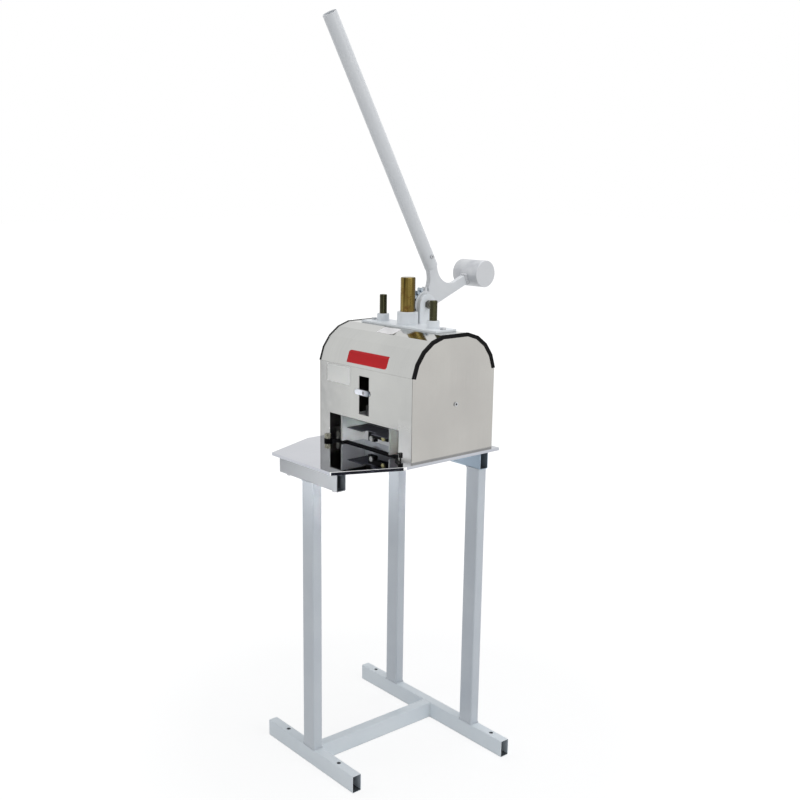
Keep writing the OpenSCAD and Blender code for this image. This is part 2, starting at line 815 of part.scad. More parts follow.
module crosshead() {
    color(steel) difference() {
        block([-cross_half, -cross_d / 2, cross_low], [cross_half, cross_d / 2, cross_top]);
        bar_z(ram_spigot_d / 2 + fit, cross_low - over, cross_top + over);
        for (s = [-1, 1]) translate([s * rod_gap / 2, 0, 0])
            bar_z(rod_spigot_d / 2 + fit, cross_top - rod_spigot_h - slip, cross_top + over);
        pad_bolt_places() bar_z(pad_bolt_d / 2 + fit, cross_low - over, cross_top + over);
    }
}
module knife_frame() {
    color(polished) {
        difference() {
            block([-head_w / 2, -head_d / 2, knife_low], [head_w / 2, head_d / 2, knife_top]);
            block([-in_x, -in_y, knife_low - over], [in_x, in_y, knife_top + over]);
        }
        for (m = [0, 1]) mirror([m, 0, 0])
            block([in_x, -cross_d / 2, knife_low], [head_w / 2, cross_d / 2, cross_low]);
    }
}
module knife_grid() {
    color(steel) {
        for (i = [1 : cells_x - 1]) translate([-in_x + i * pitch_x, 0, 0])
            block([-knife_t / 2, -in_y, knife_low], [knife_t / 2, in_y, knife_top]);
        for (j = [1 : cells_y - 1]) translate([0, -in_y + j * pitch_y, 0])
            block([-in_x, -knife_t / 2, knife_low], [in_x, knife_t / 2, knife_top]);
    }
}
module selector_stem() {
    y0 = cross_d / 2 + selector_plate_t;
    color(steel) {
        block([-selector_plate_w / 2, -y0, selector_z - selector_plate_drop],
            [selector_plate_w / 2, -cross_d / 2, cross_top]);
        translate([0, 0, selector_z]) bar_y(selector_d / 2, -tab_front, -y0 + selector_plate_t / 2);
    }
}
module selector_tab() {
    r = tab_h / 2;
    color(paint) translate([0, 0, selector_z]) difference() {
        xz_plate(-tab_front, -tab_back) {
            translate([-tab_left + r, -r]) square([tab_left + tab_right - tab_h, tab_h]);
            translate([-tab_left + r, 0]) circle(r = r);
            translate([tab_right - r, 0]) circle(r = r);
        }
        bar_y(selector_d / 2 + fit, -tab_front - over, -tab_back + over);
    }
}

module pad_plate() {
    color(steel) difference() {
        block([-in_x + over, -in_y + over, pad_plate_low], [in_x - over, in_y - over, pad_plate_top]);
        pad_bolt_places() bar_z(pad_bolt_d / 2 + fit, pad_plate_low - over, pad_plate_top + over);
    }
}
module press_pads() {
    dx = pitch_x - knife_t - 2 * pad_gap;
    dy = pitch_y - knife_t - 2 * pad_gap;
    color(polished) for (i = [0 : cells_x - 1], j = [0 : cells_y - 1])
        translate([-in_x + (i + 0.5) * pitch_x, -in_y + (j + 0.5) * pitch_y, 0]) {
            block([-dx / 2, -dy / 2, pad_low], [dx / 2, dy / 2, pad_low + pad_t]);
            bar_z(pad_stem_d / 2, pad_low + pad_t, pad_plate_low);
        }
}
module pad_bolts() {
    color(steel) pad_bolt_places() {
        bar_z(pad_bolt_d / 2, pad_plate_low, cross_top + pad_head_h);
        chamfer_z(pad_head_d / 2, cross_top, cross_top + pad_head_h);
    }
}

// A helical spring swept as one closed tube: rings of points round a coil
wire_sides = 6;
turn_rings = 8;
spring_rings = coil_turns * turn_rings;
spring_low = pad_plate_top + wire_d / 2 + slip;
spring_rise = cross_low - pad_plate_top - wire_d - 2 * slip;
function coil_point(i, j) =
    let (a = 360 * i / turn_rings, b = 360 * j / wire_sides, r = coil_d / 2 + wire_d / 2 * cos(b))
    [r * cos(a), r * sin(a), spring_low + spring_rise * i / spring_rings + wire_d / 2 * sin(b)];
function side_faces(i, j) =
    let (a = i * wire_sides + j, b = i * wire_sides + (j + 1) % wire_sides)
    [[a, a + wire_sides, b + wire_sides], [a, b + wire_sides, b]];
// Least gap from one turn to the next, on the points
near = [for (i = [0 : turn_rings - 1], j = [0 : wire_sides - 1], k = [-1 : 1], l = [0 : wire_sides - 1])
    norm(coil_point(i, j) - coil_point(i + turn_rings + k, l))];
echo(spring_gap = min(near));
module spring() {
    points = [for (i = [0 : spring_rings], j = [0 : wire_sides - 1]) coil_point(i, j)];
    last = spring_rings * wire_sides;
    faces = concat(
        [for (i = [0 : spring_rings - 1], j = [0 : wire_sides - 1]) each side_faces(i, j)],
        [for (j = [1 : wire_sides - 2]) [0, j, j + 1]],
        [for (j = [1 : wire_sides - 2]) [last, last + j + 1, last + j]]);
    polyhedron(points, faces);
}
module pad_springs() { color(steel) pad_bolt_places() spring(); }

module dough_pan() {
    color(polished) {
        difference() {
            block([-pan_x, -pan_y, table_top], [pan_x, pan_y, pan_top]);
            block([-pan_in_x, -pan_in_y, pan_floor], [pan_in_x, pan_in_y, pan_top + over]);
        }
        difference() {
            block([-flange_w / 2, -flange_front, pan_top - flange_t], [flange_w / 2, -pan_in_y, pan_top]);
            block([-notch_w / 2, -flange_front - over, pan_top - flange_t - over],
                [notch_w / 2, -flange_front + notch_d, pan_top + over]);
        }
    }
}
catch_front = flange_front - notch_d;
catch_top = pan_top - flange_t;
module catch_bolt_places() {
    for (i = [0, 1]) translate([catch_bolt_x[i], 0, catch_top - catch_bolt_drop[i]]) children();
}
module pan_catch() {
    color(black) difference() {
        xz_plate(-catch_front, -catch_front + catch_t) polygon([
            [-catch_left, catch_top], [-catch_left, catch_top - catch_h], [catch_step, catch_top - catch_h],
            [catch_step, catch_top - catch_low_h], [catch_right, catch_top - catch_low_h],
            [catch_right, catch_top]]);
        catch_bolt_places()
            bar_y(catch_bolt_d / 2 + slip, -catch_front - over, -catch_front + catch_t + over);
    }
}
module catch_bolts() {
    head = catch_bolt_d * head_h_share;
    color(zinc) catch_bolt_places() {
        translate([0, -catch_front, 0]) rotate([90, 0, 0]) hex(catch_bolt_d * hex_share, head);
        bar_y(catch_bolt_d / 2, -catch_front - head, -catch_front + catch_t);
    }
}

module at_hinge() { translate([-hinge_x, -hinge_y, 0]) children(); }
module at_knob() { translate([knob_x, -knob_y, 0]) children(); }
// A flat bar along a path, with mitred corners
function side_of(p, q) = let (way = (q - p) / norm(q - p)) [-way[1], way[0]];
function mitre(path, i) =
    let (last = len(path) - 1, a = side_of(path[max(i - 1, 0)], path[max(i, 1)]),
        b = side_of(path[min(i, last - 1)], path[min(i + 1, last)]))
    (a + b) / (1 + a * b);
function bar_edge(path, off) = [for (i = [0 : len(path) - 1]) path[i] + mitre(path, i) * off];
module flat_bar(path, width) {
    polygon(concat(bar_edge(path, width / 2), reverse(bar_edge(path, -width / 2))));
}
module gate_bar() {
    left = [-hinge_x + crank_left, -gate_mid];
    right = [knob_x - crank_right, -gate_mid];
    bend = [mouth_w / 2 - mouth_shift - bend_gap, front_y - bend_out];
    color(black) difference() {
        union() {
            xy_plate(gate_low, gate_top)
                flat_bar([[-hinge_x, -hinge_y], left, right, bend, [knob_x, -knob_y]], gate_w);
            at_hinge() bar_z(eye_r, gate_low, gate_low + eye_h);
            at_knob() bar_z(grip_r, gate_low, gate_top);
        }
        at_hinge() bar_z(hinge_d / 2 + fit, gate_low - over, gate_low + eye_h + over);
        at_knob() bar_z(stud_d / 2 + fit, gate_low - over, gate_top + over);
    }
}
module gate_knob() {
    low = gate_top + knob_rise;
    color(black) at_knob() {
        bar_z(stud_d / 2, gate_low, low + over);
        chamfer_z(knob_d / 2, low, low + knob_h);
        translate([0, 0, low + knob_h * pin_share]) bar_x(pin_d / 2, -pin_len, 0);
    }
}
module gate_stop() {
    color(steel) translate([-stop_x, -stop_y, 0]) chamfer_z(stop_d / 2, table_top, table_top + stop_h);
}
module hinge_bolt() {
    color(zinc) at_hinge() {
        translate([0, 0, hinge_low]) hex(hinge_d * hex_share, hinge_head_h);
        bar_z(hinge_d / 2, rail_top - hinge_nut_h - thread_end, hinge_low + hinge_head_h);
    }
}
module hinge_nut() {
    color(zinc) at_hinge() translate([0, 0, rail_top - hinge_nut_h]) difference() {
        hex(hinge_d * hex_share, hinge_nut_h);
        bar_z(hinge_d / 2 + slip, -over, hinge_d);
    }
}

front_foot();
rear_foot();
foot_crossbar();
front_leg();
rear_left_leg();
rear_right_leg();
front_rail();
rear_rail();
table_plate();
table_bolts();
front_panel();
dome_cover();
rear_panel();
left_side_panel();
right_side_panel();
left_edge_trim();
right_edge_trim();
side_screws();
left_frame_plate();
right_frame_plate();
frame_top_plate();
frame_bolts();
left_guide_wall();
right_guide_wall();
top_bridge();
bridge_screws();
left_collar();
centre_collar();
right_collar();
left_ear();
right_ear();
pivot_bolt();
pivot_nut();
lever_arm();
handle_tube();
handle_screw();
counterweight();
ram();
ram_nut();
left_guide_rod();
right_guide_rod();
crosshead();
knife_frame();
knife_grid();
selector_stem();
selector_tab();
pad_plate();
press_pads();
pad_bolts();
pad_springs();
dough_pan();
pan_catch();
catch_bolts();
gate_bar();
gate_knob();
gate_stop();
hinge_bolt();
hinge_nut();
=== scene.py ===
"""Looks of the dough divider: materials, welds, small details, camera and light around the CAD frame."""
import math

import bpy
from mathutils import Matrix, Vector


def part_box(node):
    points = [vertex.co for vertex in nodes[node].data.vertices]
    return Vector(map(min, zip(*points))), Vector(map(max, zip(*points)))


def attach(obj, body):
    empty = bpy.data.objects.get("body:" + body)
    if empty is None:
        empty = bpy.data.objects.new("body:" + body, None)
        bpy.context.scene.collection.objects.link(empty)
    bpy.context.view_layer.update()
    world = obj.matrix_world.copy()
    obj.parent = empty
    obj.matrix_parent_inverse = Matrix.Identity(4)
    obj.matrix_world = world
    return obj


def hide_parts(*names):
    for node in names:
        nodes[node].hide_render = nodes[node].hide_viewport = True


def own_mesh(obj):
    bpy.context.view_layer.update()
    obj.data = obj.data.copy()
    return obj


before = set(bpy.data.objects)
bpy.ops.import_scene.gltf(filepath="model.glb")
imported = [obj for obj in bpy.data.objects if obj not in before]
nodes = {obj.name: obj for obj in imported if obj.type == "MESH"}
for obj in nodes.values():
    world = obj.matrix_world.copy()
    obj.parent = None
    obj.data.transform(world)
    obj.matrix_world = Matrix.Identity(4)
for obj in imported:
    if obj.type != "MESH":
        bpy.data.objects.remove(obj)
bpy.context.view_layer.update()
scene = bpy.context.scene
MM = 0.001
ACROSS, BACK, UP = Vector((1, 0, 0)), Vector((0, 1, 0)), Vector((0, 0, 1))


def middle(node):
    """Middle of a CAD node's box, in metres."""
    low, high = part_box(node)
    return (low + high) / 2


def half_size(node):
    """Half the width, depth and height of a CAD node's box, in metres."""
    low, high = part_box(node)
    return (high - low) / 2


# Shader helpers

def new_material(name):
    """A material with its node tree and its Principled BSDF."""
    mat = bpy.data.materials.new(name)
    mat.use_nodes = True
    return mat, mat.node_tree, mat.node_tree.nodes["Principled BSDF"]


def feed(tree, node, inputs):
    """Give a node its inputs, as values or as sockets to link."""
    for key, value in inputs.items():
        if isinstance(value, bpy.types.NodeSocket):
            tree.links.new(value, node.inputs[key])
        else:
            node.inputs[key].default_value = value


def refine(mat, inputs):
    """Change inputs of a material's Principled BSDF."""
    feed(mat.node_tree, mat.node_tree.nodes["Principled BSDF"], inputs)


def add(tree, kind, inputs=None, **settings):
    """A new node with its settings and inputs."""
    node = tree.nodes.new(kind)
    for key, value in settings.items():
        setattr(node, key, value)
    feed(tree, node, inputs or {})
    return node


def calc(tree, operation, a, b=0.0):
    """One step of arithmetic between sockets or numbers."""
    return add(tree, "ShaderNodeMath", {0: a, 1: b}, operation=operation).outputs[0]


def axes(tree):
    """The object's own x, y and z in metres, as sockets."""
    coords = add(tree, "ShaderNodeTexCoord")
    split = add(tree, "ShaderNodeSeparateXYZ", {0: coords.outputs["Object"]})
    return split.outputs[0], split.outputs[1], split.outputs[2]


def noise(tree, per_metre, stretch=(1, 1, 1), detail=3.0, rough=0.5):
    """Fractal noise on the object's own coordinates, its grain given as cells per metre."""
    coords = add(tree, "ShaderNodeTexCoord")
    mapping = add(tree, "ShaderNodeMapping", {"Vector": coords.outputs["Object"], "Scale": stretch})
    node = add(tree, "ShaderNodeTexNoise", {"Vector": mapping.outputs["Vector"], "Scale": per_metre,
                                           "Detail": detail, "Roughness": rough})
    return node.outputs["Fac"]


def opaque(colour):
    """A colour with its alpha: a number stands for a grey, and a socket stays as it is."""
    if isinstance(colour, bpy.types.NodeSocket):
        return colour
    return (*colour, 1) if isinstance(colour, tuple) else (colour, colour, colour, 1)


def ramp(tree, fac, *stops):
    """A colour ramp through (position, colour) stops."""
    node = add(tree, "ShaderNodeValToRGB", {"Fac": fac})
    while len(node.color_ramp.elements) < len(stops):
        node.color_ramp.elements.new(1.0)
    for element, (position, colour) in zip(node.color_ramp.elements, stops):
        element.position = position
        element.color = opaque(colour)
    return node.outputs["Color"]


def mottled(tree, per_metre, low, high, detail=3.0):
    """Soft noise between two colours."""
    return ramp(tree, noise(tree, per_metre, detail=detail), (0.3, low), (0.7, high))


def mix(tree, fac, a, b, how="MIX"):
    """Two colours mixed."""
    inputs = {0: fac, 6: opaque(a), 7: opaque(b)}
    return add(tree, "ShaderNodeMix", inputs, data_type="RGBA", blend_type=how).outputs[2]


def bump(tree, height, strength, depth, under=None):
    """A bump normal from a height, its depth in metres, on top of another bump where one is given."""
    inputs = {"Height": height, "Strength": strength, "Distance": depth}
    if under is not None:
        inputs["Normal"] = under
    return add(tree, "ShaderNodeBump", inputs).outputs["Normal"]


def crease_shade(tree, colour, reach, shade_colour, amount):
    """The colour, darkened towards a painted shade colour in corners closer than reach, as ambient
    occlusion finds them.
    """
    corner = add(tree, "ShaderNodeAmbientOcclusion", {"Distance": reach}, samples=6)
    fac = ramp(tree, corner.outputs["AO"], (0.35, amount), (0.85, 0.0))
    return mix(tree, fac, colour, shade_colour)


def patched(tree, colour, *patches):
    """The colour, with each patch's own mottled colour where its mask is 1."""
    for mask, low, high in patches:
        colour = mix(tree, mask(tree), colour, mottled(tree, 40, low, high, detail=4))
    return colour


# Masks on the object's own coordinates

FRONT_FOOT, REAR_FOOT, FRONT_RAIL = middle("front_foot"), middle("rear_foot"), middle("front_rail")
TUBE_INNER = (13.2 * MM, 23.2 * MM)
PIVOT = middle("pivot_bolt")
TEETH_ROOT, TEETH_TIP = 35.5 * MM, 49 * MM
TEETH_FRONT = -8 * MM
SAME_WAY_COSINE = 0.96
TAPER_OUT = (0.918, -0.397, 0)
TAPER_RIM = 263.6 * MM
KNOB_SIDE_X = 143 * MM
KNOB_SIDE_LOW, KNOB_SIDE_HIGH = 900 * MM, 1000 * MM
PANEL_REACH = 200 * MM
PAN_FLANGE_Y = -73 * MM
WALL_EDGE_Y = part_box("left_guide_wall")[0].y + 0.6 * MM
BETWEEN_BOLTS_X = 30 * MM
WEIGHT_END_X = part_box("counterweight")[1].x - MM
TAB_REACH = 50 * MM


def overlap(tree, first, *others):
    """Where all the masks hold."""
    for other in others:
        first = calc(tree, "MULTIPLY", first, other)
    return first


def below(tree, axis, limit):
    """1 where one of the object's own coordinates is under a limit; x is axis 0."""
    return calc(tree, "LESS_THAN", axes(tree)[axis], limit)


def facing(tree, direction):
    """1 on the faces that look along a direction."""
    coords = add(tree, "ShaderNodeTexCoord")
    along = add(tree, "ShaderNodeVectorMath", {0: coords.outputs["Normal"], 1: direction},
                operation="DOT_PRODUCT")
    return calc(tree, "GREATER_THAN", along.outputs["Value"], SAME_WAY_COSINE)


def tube_insides(tree):
    """1 inside the open tubes of the feet and the rails."""
    _, y, z = axes(tree)
    inside = []
    for value, first, second, reach in ((y, FRONT_FOOT.y, REAR_FOOT.y, TUBE_INNER[0]),
                                        (z, FRONT_FOOT.z, FRONT_RAIL.z, TUBE_INNER[1])):
        from_mid = calc(tree, "ABSOLUTE", calc(tree, "SUBTRACT", value, (first + second) / 2))
        from_axis = calc(tree, "ABSOLUTE", calc(tree, "SUBTRACT", from_mid, (second - first) / 2))
        inside.append(calc(tree, "LESS_THAN", from_axis, reach))
    return overlap(tree, *inside)


def tube_far_wall(tree):
    """1 on the rear wall inside the open tubes, which the light reaches."""
    return overlap(tree, tube_insides(tree), facing(tree, -BACK))


def sector_teeth(tree):
    """1 on the teeth of the lever's sector, in front of the pivot."""
    _, y, z = axes(tree)
    ahead = calc(tree, "SUBTRACT", y, PIVOT.y)
    above = calc(tree, "SUBTRACT", z, PIVOT.z)
    squares = calc(tree, "ADD", calc(tree, "MULTIPLY", ahead, ahead), calc(tree, "MULTIPLY", above, above))
    past_root = calc(tree, "GREATER_THAN", squares, TEETH_ROOT ** 2)
    within_tip = calc(tree, "LESS_THAN", squares, TEETH_TIP ** 2)
    return overlap(tree, past_root, within_tip, calc(tree, "LESS_THAN", ahead, TEETH_FRONT))


def taper_edge(tree):
    """1 on the table's tapered right edge, where a dark reflection is painted."""
    return facing(tree, TAPER_OUT)


def taper_rim(tree):
    """1 on a strip of the table's top along its tapered right edge, where a highlight is painted."""
    x, y, _ = axes(tree)
    out_x = calc(tree, "MULTIPLY", x, TAPER_OUT[0])
    out_y = calc(tree, "MULTIPLY", y, TAPER_OUT[1])
    return calc(tree, "GREATER_THAN", calc(tree, "ADD", out_x, out_y), TAPER_RIM)


def knob_side(tree):
    """On the front panel beside the gate's knob, from 0.8 at the table to 0 higher up."""
    x, _, z = axes(tree)
    right = calc(tree, "GREATER_THAN", x, KNOB_SIDE_X)
    fading = ramp(tree, z, (KNOB_SIDE_LOW, 0.8), (KNOB_SIDE_HIGH, 0.0))
    return overlap(tree, right, below(tree, 1, 0.0), fading)


def panel_left(tree):
    """From 1 at the front panel's left edge to 0 near its middle, where painted shade darkens the panel."""
    leftward = calc(tree, "DIVIDE", axes(tree)[0], -PANEL_REACH)
    return overlap(tree, ramp(tree, leftward, (0.25, 0.0), (1.0, 1.0)), below(tree, 1, 0.0))


def lip_sheen_faces(tree):
    """1 on the faces of the left trim that look towards the dome, where a sheen is painted."""
    return facing(tree, ACROSS)


def pan_flange(tree):
    """1 on the pan's front flange, where a dark reflection is painted."""
    return below(tree, 1, PAN_FLANGE_Y)


def wall_front(tree):
    """1 on the front edges of the guide walls, where shade is painted."""
    return below(tree, 1, WALL_EDGE_Y)


def left_catch_bolt(tree):
    """1 on the left one of the two catch bolts."""
    return below(tree, 0, BETWEEN_BOLTS_X)


def weight_body(tree):
    """Soft rubbed places on the counterweight, away from its right end."""
    rubbed = ramp(tree, noise(tree, 26, detail=3), (0.38, 0.0), (0.68, 0.8))
    return overlap(tree, rubbed, below(tree, 0, WEIGHT_END_X))


def tab_end(tree):
    """From 0 at the left of the tab's middle to 1 at its right end."""
    along = calc(tree, "ADD", calc(tree, "DIVIDE", axes(tree)[0], TAB_REACH), 0.5)
    return ramp(tree, along, (0.35, 0.0), (0.95, 1.0))


# Kinds of material

# Colours of the painted shade in corners, on paint and on bare steel, and the roughness of a matt place
PAINT_SHADE = (0.42, 0.43, 0.44)
STEEL_SHADE = (0.05, 0.05, 0.05)
MATT_ROUGHNESS = 0.55


def paint(name, low, high, shade_colour=PAINT_SHADE, patches=(), corner_shade=0.35, peel=0.04):
    """Satin powder coat: cloudy tint, orange peel, and painted shade in the corners."""
    mat, tree, bsdf = new_material(name)
    specks = ramp(tree, noise(tree, 240, detail=2), (0.68, 1.0), (0.78, 0.93))
    tint = mix(tree, 0.4, mottled(tree, 7, low, high, detail=4), specks, "MULTIPLY")
    if corner_shade:
        tint = crease_shade(tree, tint, 12 * MM, shade_colour, corner_shade)
    fine = bump(tree, noise(tree, 500, detail=1), peel, 0.2 * MM)
    feed(tree, bsdf, {
        "Base Color": patched(tree, tint, *patches),
        "Roughness": mottled(tree, 22, 0.32, 0.42),
        "Normal": bump(tree, noise(tree, 45, detail=2), 0.05, 0.5 * MM, fine),
        "Coat Weight": 0.20,
        "Coat Roughness": 0.18,
    })
    return mat


def sheet_metal(name, low, high, grain, rough, grain_strength=0.03, metal=1.0, patches=(), matt_mask=None):
    """Rolled sheet: cloudy tone, a fine grain along one direction, and a mask for a matt place: worn beside
    the gate's knob, and along the table's painted rim highlight.
    """
    mat, tree, bsdf = new_material(name)
    cloud = mottled(tree, 4.5, low, high, detail=4)
    lines = noise(tree, 1, grain, detail=2, rough=0.6)
    tone = ramp(tree, lines, (0.3, 0.955), (0.7, 1.0))
    smear = noise(tree, 14, detail=5, rough=0.65)
    gloss = ramp(tree, smear, (0.3, rough[0]), (0.75, rough[1]))
    if matt_mask is not None:
        gloss = mix(tree, matt_mask(tree), gloss, MATT_ROUGHNESS)
    fine = bump(tree, lines, grain_strength, 0.1 * MM)
    feed(tree, bsdf, {
        "Base Color": patched(tree, mix(tree, 1.0, cloud, tone, "MULTIPLY"), *patches),
        "Roughness": gloss,
        "Normal": bump(tree, noise(tree, 6, detail=1), 0.06, 1.5 * MM, fine),
        "Metallic": metal,
    })
    return mat


def streaked_zinc(name, tones, brown):
    """Yellow-passivated zinc: upright streaks through the tones, and brown stains."""
    mat, tree, bsdf = new_material(name)
    streak = noise(tree, 1, (130, 130, 3.5), detail=4, rough=0.55)
    stops = [(0.28 + 0.44 * i / (len(tones) - 1), tone) for i, tone in enumerate(tones)]
    stain = ramp(tree, noise(tree, 38, detail=4), (0.52, 0.0), (0.66, 0.7))
    feed(tree, bsdf, {
        "Base Color": mix(tree, stain, ramp(tree, streak, *stops), brown),
        "Roughness": mottled(tree, 60, 0.20, 0.36),
        "Normal": bump(tree, streak, 0.03, 0.1 * MM),
        "Metallic": 1.0,
    })
    return mat


def bare_steel(name, low, high, rough=0.3, per_metre=60, patches=()):
    """Turned or milled steel with a mottled tone, and painted shade in its corners."""
    mat, tree, bsdf = new_material(name)
    colour = patched(tree, mottled(tree, per_metre, low, high, detail=4), *patches)
    feed(tree, bsdf, {
        "Base Color": crease_shade(tree, colour, 3 * MM, STEEL_SHADE, 0.5),
        "Roughness": mottled(tree, per_metre * 3, rough - 0.08, rough + 0.10),
        "Normal": bump(tree, noise(tree, 900, detail=1), 0.05, 0.1 * MM),
        "Metallic": 1.0,
    })
    return mat


def dark_solid(name, low, high, rough, peel, specular=0.25, patches=()):
    """Black rubber, plastic or paint: near-black tint with a fine surface."""
    mat, tree, bsdf = new_material(name)
    feed(tree, bsdf, {
        "Base Color": patched(tree, mottled(tree, 80, low, high, detail=4), *patches),
        "Roughness": mottled(tree, 35, rough - 0.07, rough + 0.07),
        "Normal": bump(tree, noise(tree, peel, detail=2), 0.12, 0.2 * MM),
        "Specular IOR Level": specular,
    })
    return mat


# Patches: a mask, and the two colours that mottle it

# Painted shade inside the open tubes, and painted light on their far walls: bright in the feet, dim in the
# rear rail
SHADED_INSIDE = (tube_insides, (0.07, 0.08, 0.09), (0.12, 0.135, 0.15))
LIT_INSIDE = (tube_far_wall, (0.62, 0.70, 0.76), (0.74, 0.82, 0.88))
DIM_INSIDE = (tube_far_wall, (0.14, 0.18, 0.22), (0.20, 0.24, 0.28))
BARE_TEETH = (sector_teeth, (0.26, 0.31, 0.36), (0.42, 0.47, 0.52))
DARK_TAB_END = (tab_end, (0.06, 0.07, 0.095), (0.12, 0.135, 0.17))
RUBBED_WEIGHT = (weight_body, (0.46, 0.47, 0.51), (0.56, 0.57, 0.61))
# Painted shade: the front panel darker towards its left edge
SHADED_LEFT = (panel_left, (0.365, 0.37, 0.368), (0.425, 0.43, 0.425))
PALE_KNOB_SIDE = (knob_side, (0.86, 0.86, 0.84), (0.92, 0.92, 0.90))
# Painted highlight along the rim of the table's tapered right edge
RIM_HIGHLIGHT = (taper_rim, (0.86, 0.86, 0.87), (0.92, 0.92, 0.93))
# Painted dark reflection on the table's tapered edge
TAPER_DARK_REFLECTION = (taper_edge, (0.010, 0.011, 0.016), (0.020, 0.021, 0.028))
# Painted shade on the front edges of the guide walls
SHADED_WALL_EDGE = (wall_front, (0.20, 0.205, 0.20), (0.28, 0.285, 0.28))
# Painted dark reflection of the housing's interior on the pan's flange
FLANGE_DARK_REFLECTION = (pan_flange, (0.055, 0.058, 0.072), (0.09, 0.093, 0.115))
PALE_BOLT = (left_catch_bolt, (0.26, 0.26, 0.25), (0.56, 0.57, 0.55))
# Painted sheen on the left trim's faces towards the dome
LIP_SHEEN = (lip_sheen_faces, (0.22, 0.225, 0.22), (0.34, 0.345, 0.335))


# Paints

LEVER_TONES = ((0.77, 0.79, 0.815), (0.82, 0.835, 0.855))
# Legs, feet and rails wear one paint: the feet's copy is lightened as painted light, the rails' copies
# darkened as painted shade
LEG_PAINT = paint("leg_paint", (0.63, 0.675, 0.73), (0.69, 0.735, 0.78))
FOOT_PAINT_LIT = paint("foot_paint_lit", (0.84, 0.905, 0.955), (0.89, 0.945, 0.985),
                   patches=[SHADED_INSIDE, LIT_INSIDE])
# Painted shade under the table, bluer on the rear rail
RAIL_PAINT_SHADED = paint("rail_paint_shaded", (0.47, 0.485, 0.51), (0.525, 0.54, 0.56), patches=[SHADED_INSIDE])
REAR_RAIL_PAINT_SHADED = paint("rear_rail_paint_shaded", (0.46, 0.58, 0.70), (0.51, 0.63, 0.75),
                        patches=[SHADED_INSIDE, DIM_INSIDE])
TOP_PAINT = paint("top_paint", (0.84, 0.88, 0.92), (0.89, 0.92, 0.95))
LEVER_PAINT = paint("lever_paint", *LEVER_TONES, patches=[BARE_TEETH])
refine(LEVER_PAINT, {"Metallic": sector_teeth(LEVER_PAINT.node_tree)})
HANDLE_PAINT = paint("handle_paint", *LEVER_TONES, corner_shade=0, peel=0.003)
TAB_PAINT = paint("tab_paint", (0.72, 0.74, 0.80), (0.82, 0.84, 0.88), patches=[DARK_TAB_END])
WEIGHT_PAINT = paint("weight_paint", (0.61, 0.625, 0.65), (0.69, 0.70, 0.72), patches=[RUBBED_WEIGHT])
refine(WEIGHT_PAINT, {"Metallic": 0.35})
RED_ENAMEL = paint("red_enamel", (0.44, 0.008, 0.012), (0.52, 0.013, 0.018), (0.22, 0.01, 0.01))
refine(RED_ENAMEL, {"Coat Weight": 0.0, "Specular IOR Level": 0.15})
LABEL_WHITE = paint("label_white", (0.63, 0.63, 0.61), (0.69, 0.69, 0.67))
LABEL_BRIGHT = paint("label_bright", (0.88, 0.86, 0.87), (0.93, 0.91, 0.92))


# Sheets; a grain gives cells per metre along x, y and z, most of them across its lines

FRONT_GRAIN, SIDE_GRAIN = (900, 5, 5), (5, 900, 5)
TABLE_GRAIN, LEVEL_GRAIN = (700, 9, 9), (5, 5, 800)
FRONT_SHEET = sheet_metal("front_sheet", (0.455, 0.46, 0.45), (0.525, 0.53, 0.515),
                          FRONT_GRAIN, (0.16, 0.24), patches=[SHADED_LEFT, PALE_KNOB_SIDE], matt_mask=knob_side)
DOME_SHEET = sheet_metal("dome_sheet", (0.49, 0.495, 0.485), (0.56, 0.565, 0.55),
                         FRONT_GRAIN, (0.06, 0.12))
SIDE_SHEET = sheet_metal("side_sheet", (0.455, 0.445, 0.425), (0.515, 0.505, 0.48),
                         SIDE_GRAIN, (0.15, 0.23))
TABLE_SHEET = sheet_metal("table_mirror", (0.475, 0.49, 0.535), (0.535, 0.55, 0.59),
                          TABLE_GRAIN, (0.02, 0.06), 0.006, patches=[RIM_HIGHLIGHT, TAPER_DARK_REFLECTION], matt_mask=taper_rim)
# Both guide walls lightened as painted light, the left one more
LEFT_WALL_LIT = sheet_metal("left_wall_lit", (0.88, 0.88, 0.88), (0.94, 0.94, 0.94),
                        LEVEL_GRAIN, (0.28, 0.40), metal=0.25, patches=[SHADED_WALL_EDGE])
# Painted light, less than on the left wall
RIGHT_WALL_LIT = sheet_metal("right_wall_lit", (0.70, 0.705, 0.715), (0.78, 0.785, 0.795),
                         LEVEL_GRAIN, (0.28, 0.40), metal=0.35, patches=[SHADED_WALL_EDGE])
PAN_SHEET = sheet_metal("pan_sheet", (0.41, 0.425, 0.44), (0.48, 0.495, 0.51),
                        LEVEL_GRAIN, (0.50, 0.64), metal=0.20, patches=[FLANGE_DARK_REFLECTION])


# Zinc, steel and black

GOLD_TONES = [(0.035, 0.025, 0.008), (0.12, 0.085, 0.022), (0.24, 0.18, 0.055), (0.46, 0.39, 0.17)]
OLIVE_TONES = [(0.012, 0.012, 0.008), (0.035, 0.035, 0.020), (0.07, 0.07, 0.036), (0.16, 0.155, 0.09)]
RAM_ZINC = streaked_zinc("ram_zinc", GOLD_TONES, (0.11, 0.055, 0.015))
ROD_ZINC = streaked_zinc("rod_zinc", OLIVE_TONES, (0.03, 0.026, 0.014))
HINGE_ZINC = bare_steel("hinge_zinc", (0.17, 0.165, 0.125), (0.40, 0.39, 0.31), 0.28, 140)
CATCH_ZINC = bare_steel("catch_zinc", (0.26, 0.24, 0.10), (0.50, 0.46, 0.25), 0.30, 160, [PALE_BOLT])
STEEL = bare_steel("bare_steel", (0.40, 0.41, 0.43), (0.56, 0.57, 0.59))
DULL_STEEL = bare_steel("dull_steel", (0.20, 0.205, 0.21), (0.30, 0.305, 0.31), 0.38, 30)
DARK_STEEL = bare_steel("dark_steel", (0.10, 0.10, 0.09), (0.22, 0.21, 0.17), 0.36)
